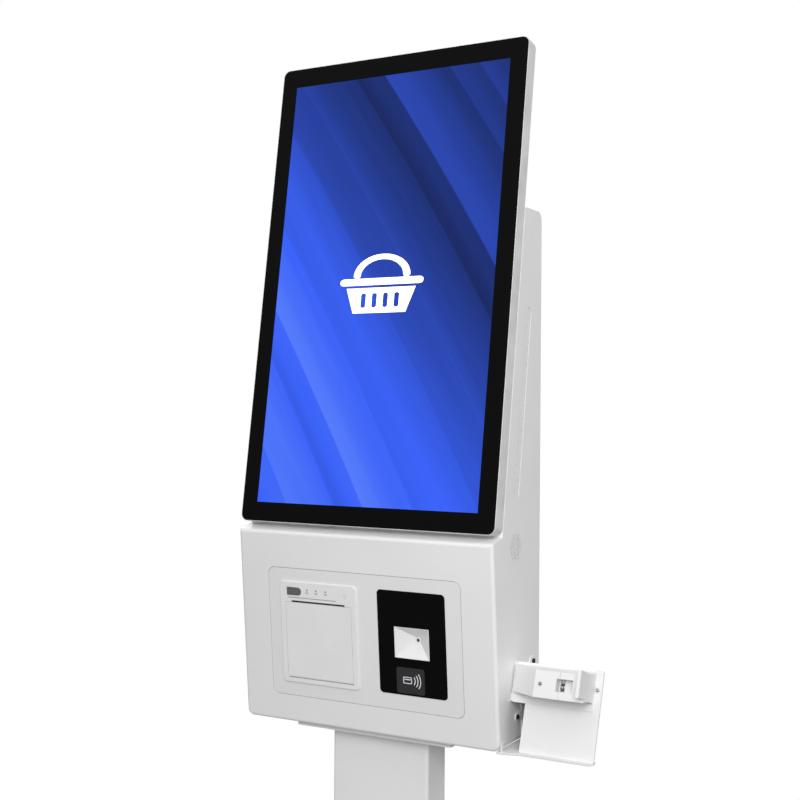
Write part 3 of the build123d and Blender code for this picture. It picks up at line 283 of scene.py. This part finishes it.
def picture_material():
    """Blue folds, lighter towards the lower left, worked out in the display's own plane."""
    n = Nodes("screen_picture")
    local = n.add("ShaderNodeMapping", vector_type="TEXTURE")
    local.inputs["Location"].default_value = SCREEN_POINT
    local.inputs["Rotation"].default_value = (pi / 2 - SCREEN_TILT, 0, 0)
    n.link(n.place, local.inputs["Vector"])
    axes = n.add("ShaderNodeSeparateXYZ")
    n.link(local.outputs[0], axes.inputs[0])
    x, y = axes.outputs["X"], n.math("SUBTRACT", axes.outputs["Y"], LIT_H / 2)
    cosine, sine = cos(BAND_ANGLE), sin(BAND_ANGLE)
    across = n.math("ADD", n.math("MULTIPLY", x, cosine), n.math("MULTIPLY", y, sine))
    along = n.math("SUBTRACT", n.math("MULTIPLY", y, cosine), n.math("MULTIPLY", x, sine))
    threads_at = n.add("ShaderNodeCombineXYZ")
    n.link(n.math("MULTIPLY", across, THREADS_ACROSS), threads_at.inputs["X"])
    n.link(n.math("MULTIPLY", along, THREADS_ALONG), threads_at.inputs["Y"])
    threads = n.noise(1.6, 4.0, 0.55, place=threads_at.outputs[0])
    total = n.span(n.math("ADD", across, n.math("MULTIPLY", y, 0.1)), 0.72, 0.20, -0.12, 0.145, smooth=True)
    total = n.math("ADD", total, n.span(threads, -0.03, 0.03))
    bend = n.math("ADD", across, n.math("MULTIPLY", n.math("MULTIPLY", along, along), BAND_BEND))
    for start, width, strength in BANDS:
        edge = n.span(bend, 0.0, 1.0, start, start + BAND_EDGE, smooth=True)
        fade = n.span(bend, strength, 0.0, start, start + width, smooth=True)
        total = n.math("ADD", total, n.math("MULTIPLY", edge, fade))
    ramp = n.add("ShaderNodeValToRGB")
    while len(ramp.color_ramp.elements) < len(PICTURE_BLUES):
        ramp.color_ramp.elements.new(0.5)
    for element, (position, colour) in zip(ramp.color_ramp.elements, PICTURE_BLUES):
        element.position = position
        element.color = (*colour, 1.0)
    n.link(total, ramp.inputs["Fac"])
    n.link(ramp.outputs["Color"], n.shader.inputs["Emission Color"])
    n.set(Base_Color=(0.003, 0.003, 0.004, 1.0), Emission_Strength=1.0)
    n.set(Roughness=0.10, Specular_IOR_Level=0.05)
    return n.material


def glow_material(name, colour, strength):
    n = Nodes(name)
    n.colour(n.span(n.noise(400.0, 2.0), 0, 1), shade(colour, 0.97), colour)
    n.set(Emission_Color=(*colour, 1.0), Emission_Strength=strength, Roughness=0.3)
    return n.material


# Flat matte colour for printed marks; in the printer's groove the same colour is painted shade.
def print_and_shade_material(name, colour):
    n = Nodes(name)
    n.colour(n.span(n.noise(700.0, 3.0), 0, 1), shade(colour, 0.9), shade(colour, 1.05))
    n.roughness(n.noise(300.0, 2.0), 0.4, 0.55)
    return n.material


def flat_piece(name, loops, place, lift, thickness, material, body="kiosk"):
    """A thin plate on a leaning face, over closed outlines; inner outlines are holes. Sizes in mm."""
    mesh = bmesh.new()
    edges = []
    for loop in loops:
        points = [mesh.verts.new((x * MM, y * MM, lift * MM)) for x, y in loop]
        edges += [mesh.edges.new(pair) for pair in zip(points, points[1:] + points[:1])]
    bmesh.ops.triangle_fill(mesh, use_beauty=True, use_dissolve=False, edges=edges, normal=(0, 0, 1))
    grown = bmesh.ops.extrude_face_region(mesh, geom=mesh.faces[:])
    moved = [g for g in grown["geom"] if isinstance(g, bmesh.types.BMVert)]
    bmesh.ops.translate(mesh, verts=moved, vec=(0, 0, thickness * MM))
    bmesh.ops.recalc_face_normals(mesh, faces=mesh.faces)
    mesh.transform(place)
    data = bpy.data.meshes.new(name)
    mesh.to_mesh(data)
    mesh.free()
    data.materials.append(material)
    piece = bpy.data.objects.new(name, data)
    bpy.context.collection.objects.link(piece)
    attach(piece, body)
    return piece


CORNER_STEPS = 6            # straight steps round the corner of a printed mark
STROKE_END_STEPS = 8        # and round the end of a curved stroke


def arc(cx, cy, radius, start, end, steps=24):
    """Points on an arc, in degrees."""
    angles = [radians(start + (end - start) * i / steps) for i in range(steps + 1)]
    return [(cx + radius * cos(a), cy + radius * sin(a)) for a in angles]


def band(cx, cy, radius, width, start, end):
    """A closed outline round a curved stroke with round ends."""
    inner, outer = radius - width / 2, radius + width / 2

    def cap(at, turned):
        x, y = cx + radius * cos(radians(at)), cy + radius * sin(radians(at))
        return arc(x, y, width / 2, at + turned, at + turned + 180, STROKE_END_STEPS)[1:-1]

    return arc(cx, cy, outer, start, end) + cap(end, 0) + arc(cx, cy, inner, end, start) + cap(start, 180)


def rounded(x0, y0, x1, y1, radius):
    """A rectangle's outline with round corners."""
    left, right, foot, head = x0 + radius, x1 - radius, y0 + radius, y1 - radius
    centres = ((right, foot, -90), (right, head, 0), (left, head, 90), (left, foot, 180))
    return [point for x, y, start in centres for point in arc(x, y, radius, start, start + 90, CORNER_STEPS)]


def boxed(cx, cy, width, height, radius):
    """A rounded rectangle's outline about its centre."""
    return rounded(cx - width / 2, cy - height / 2, cx + width / 2, cy + height / 2, radius)


def basket(cx, cy, size, wide):
    """Outlines of a shopping basket, drawn about a centre; wide stretches it sideways."""
    def at(points):
        return [(cx + x * size * wide, cy + y * size) for x, y in points]
    rim = at(rounded(-0.60, 0.02, 0.60, 0.15, 0.055))
    tub = at([(-0.50, -0.03), (-0.38, -0.50), (0.38, -0.50), (0.50, -0.03)])
    slots = [at(rounded(x - 0.035, -0.40, x + 0.035, -0.13, 0.034)) for x in (-0.24, -0.08, 0.08, 0.24)]
    handle = at(band(0, 0.19, 0.36, 0.10, 2, 178))
    return [rim, tub, handle] + slots


def make_screen():
    half_w, height = LIT_W / MM / 2, LIT_H / MM
    outline = [(-half_w, 0), (half_w, 0), (half_w, height), (-half_w, height)]
    flat_piece("screen_picture", [outline], DISPLAY, 0.0, PICTURE_T, picture_material())
    white = glow_material("screen_white", (1.0, 1.0, 1.0), 1.0)
    icon = basket(0, ICON_Y, ICON_SIZE, ICON_STRETCH)
    flat_piece("screen_basket_icon", icon, DISPLAY, PICTURE_T, PICTURE_T, white)


# Printed marks and a painted shade strip in the printer's groove, in mm on the lower front face; y runs up
# it from the screen point's height.
SYMBOL_X, SYMBOL_Y = 66.0, -222.0
WAVE_RADII = (8.2, 12.2, 16.2)
LABEL_FRONT = 0.85          # how far each printed surface stands out of the face
STRIP_FRONT = 2.2
# GROOVE_FLOOR is the groove's floor, where a grey strip paints the groove's shade.
GROOVE_FLOOR = 1.4
INDICATORS_X = (-83.3, -69.1, -54.0)
INDICATOR_MARK_Y = -119.5
GROOVE_X, GROOVE_Y, GROOVE_W = -76.5, -127.0, 76.8
PRINT_T = 0.05
FINE_PRINT_AND_SHADE_T = 0.04


def make_reader_symbol():
    """A plain card and three waves."""
    card = [boxed(SYMBOL_X, SYMBOL_Y, 13.0, 9.0, 1.6), boxed(SYMBOL_X, SYMBOL_Y, 10.8, 6.8, 0.8)]
    stripe = [boxed(SYMBOL_X, SYMBOL_Y + 1.1, 9.2, 1.4, 0.3)]
    waves = [band(SYMBOL_X + 3.0, SYMBOL_Y, radius, 1.3, -34, 34) for radius in WAVE_RADII]
    pale = print_and_shade_material("pale_ink", (0.72, 0.72, 0.72))
    symbol = card + stripe + waves
    flat_piece("reader_symbol", symbol, FACE, LABEL_FRONT, PRINT_T, pale)


def make_printer_marks():
    """A small open bar under each indicator, and a grey strip of painted shade on the floor of the groove.
    """
    marks = []
    for x in INDICATORS_X:
        marks.append(boxed(x, INDICATOR_MARK_Y, 4.2, 2.2, 0.5))
        marks.append(boxed(x, INDICATOR_MARK_Y, 3.0, 1.2, 0.3))
    grey = print_and_shade_material("grey_ink", (0.22, 0.22, 0.22))
    flat_piece("printer_marks", marks, FACE, STRIP_FRONT, FINE_PRINT_AND_SHADE_T, grey)
    # painted shade: a grey strip on the groove's floor stands in for the shade inside the groove
    groove = [boxed(GROOVE_X, GROOVE_Y, GROOVE_W, 1.0, 0.2)]
    painted_groove_shade = print_and_shade_material("groove_painted_shade", (0.30, 0.30, 0.30))
    flat_piece("printer_groove_painted_shade", groove, FACE, GROOVE_FLOOR, FINE_PRINT_AND_SHADE_T, painted_groove_shade)


make_screen()
make_reader_symbol()
make_printer_marks()

# ---------------------------------------------------------------- floor, light and camera
FLOOR_SIZE = 2.4
SKY_HIGH = 0.76             # soft light from above, and from below the horizon
SKY_LOW = 0.10


def make_floor():
    n = Nodes("studio_floor")
    n.colour(n.span(n.noise(3.0, 4.0), 0, 1), (0.28, 0.28, 0.28), (0.32, 0.32, 0.32))
    n.roughness(n.noise(40.0, 3.0), 0.5, 0.65)
    bpy.ops.mesh.primitive_plane_add(size=FLOOR_SIZE, location=(0, 0, 0))
    floor = bpy.context.object
    floor.name = "studio_floor"
    floor.data.materials.append(n.material)


def area_light(name, place, target, size, power):
    light = bpy.data.lights.new(name, "AREA")
    light.shape = "RECTANGLE"
    light.size, light.size_y = size
    light.energy = power
    lamp = bpy.data.objects.new(name, light)
    lamp.location = place
    lamp.rotation_euler = (Vector(target) - Vector(place)).to_track_quat("-Z", "Y").to_euler()
    bpy.context.collection.objects.link(lamp)


def make_world():
    """A white backdrop that lights the kiosk softly, more from above than from below."""
    world = bpy.data.worlds.new("studio")
    bpy.context.scene.world = world
    world.use_nodes = True
    tree = world.node_tree
    way = tree.nodes.new("ShaderNodeSeparateXYZ")
    tree.links.new(tree.nodes.new("ShaderNodeTexCoord").outputs["Generated"], way.inputs[0])
    sky = tree.nodes.new("ShaderNodeMapRange")
    sky.interpolation_type = "SMOOTHSTEP"
    limits = {"From Min": -0.5, "From Max": 0.9, "To Min": SKY_LOW, "To Max": SKY_HIGH}
    for name, value in limits.items():
        sky.inputs[name].default_value = value
    tree.links.new(way.outputs["Z"], sky.inputs["Value"])
    level = tree.nodes.new("ShaderNodeMapRange")
    level.inputs["To Max"].default_value = 1.0
    tree.links.new(sky.outputs["Result"], level.inputs["To Min"])
    tree.links.new(tree.nodes.new("ShaderNodeLightPath").outputs["Is Camera Ray"], level.inputs["Value"])
    tree.nodes["Background"].inputs["Color"].default_value = (1.0, 1.0, 1.0, 1.0)
    tree.links.new(level.outputs["Result"], tree.nodes["Background"].inputs["Strength"])


# The camera's place from the screen point, and its turn.
CAMERA_FROM_SCREEN = Vector((0.8486, -1.4139, 0.1315))
CAMERA_LENS = 56.48
CAMERA_YAW = radians(29.275)
CAMERA_PITCH = radians(0.329)
CAMERA_ROLL = radians(0.425)


def make_camera():
    camera = bpy.data.objects.new("camera", bpy.data.cameras.new("camera"))
    camera.data.sensor_width = 36.0
    camera.data.lens = CAMERA_LENS
    camera.data.clip_start = 0.05
    yaw, pitch, roll = CAMERA_YAW, CAMERA_PITCH, CAMERA_ROLL
    ahead = Vector((-sin(yaw) * cos(pitch), cos(yaw) * cos(pitch), sin(pitch)))
    level = Vector((cos(yaw), sin(yaw), 0))
    above = level.cross(ahead)
    right = cos(roll) * level + sin(roll) * above
    up = cos(roll) * above - sin(roll) * level
    matrix = Matrix((right, up, -ahead)).transposed().to_4x4()
    matrix.translation = SCREEN_POINT + CAMERA_FROM_SCREEN
    camera.matrix_world = matrix
    bpy.context.collection.objects.link(camera)
    bpy.context.scene.camera = camera


make_floor()
make_world()
area_light("key_softbox", (1.0, -1.8, 1.6), (0, 0, 1.1), (1.1, 1.1), 30)
area_light("side_softbox", (2.2, 0.3, 1.9), (0, 0, 1.0), (1.2, 1.2), 8)
area_light("top_softbox", (0.5, -0.7, 3.2), (0, 0, 1.0), (1.6, 1.6), 4.5)
area_light("back_softbox", (-1.9, 1.9, 1.8), (0, 0, 1.1), (1.6, 1.6), 32)
make_camera()
bpy.context.scene.view_settings.view_transform = "Standard"
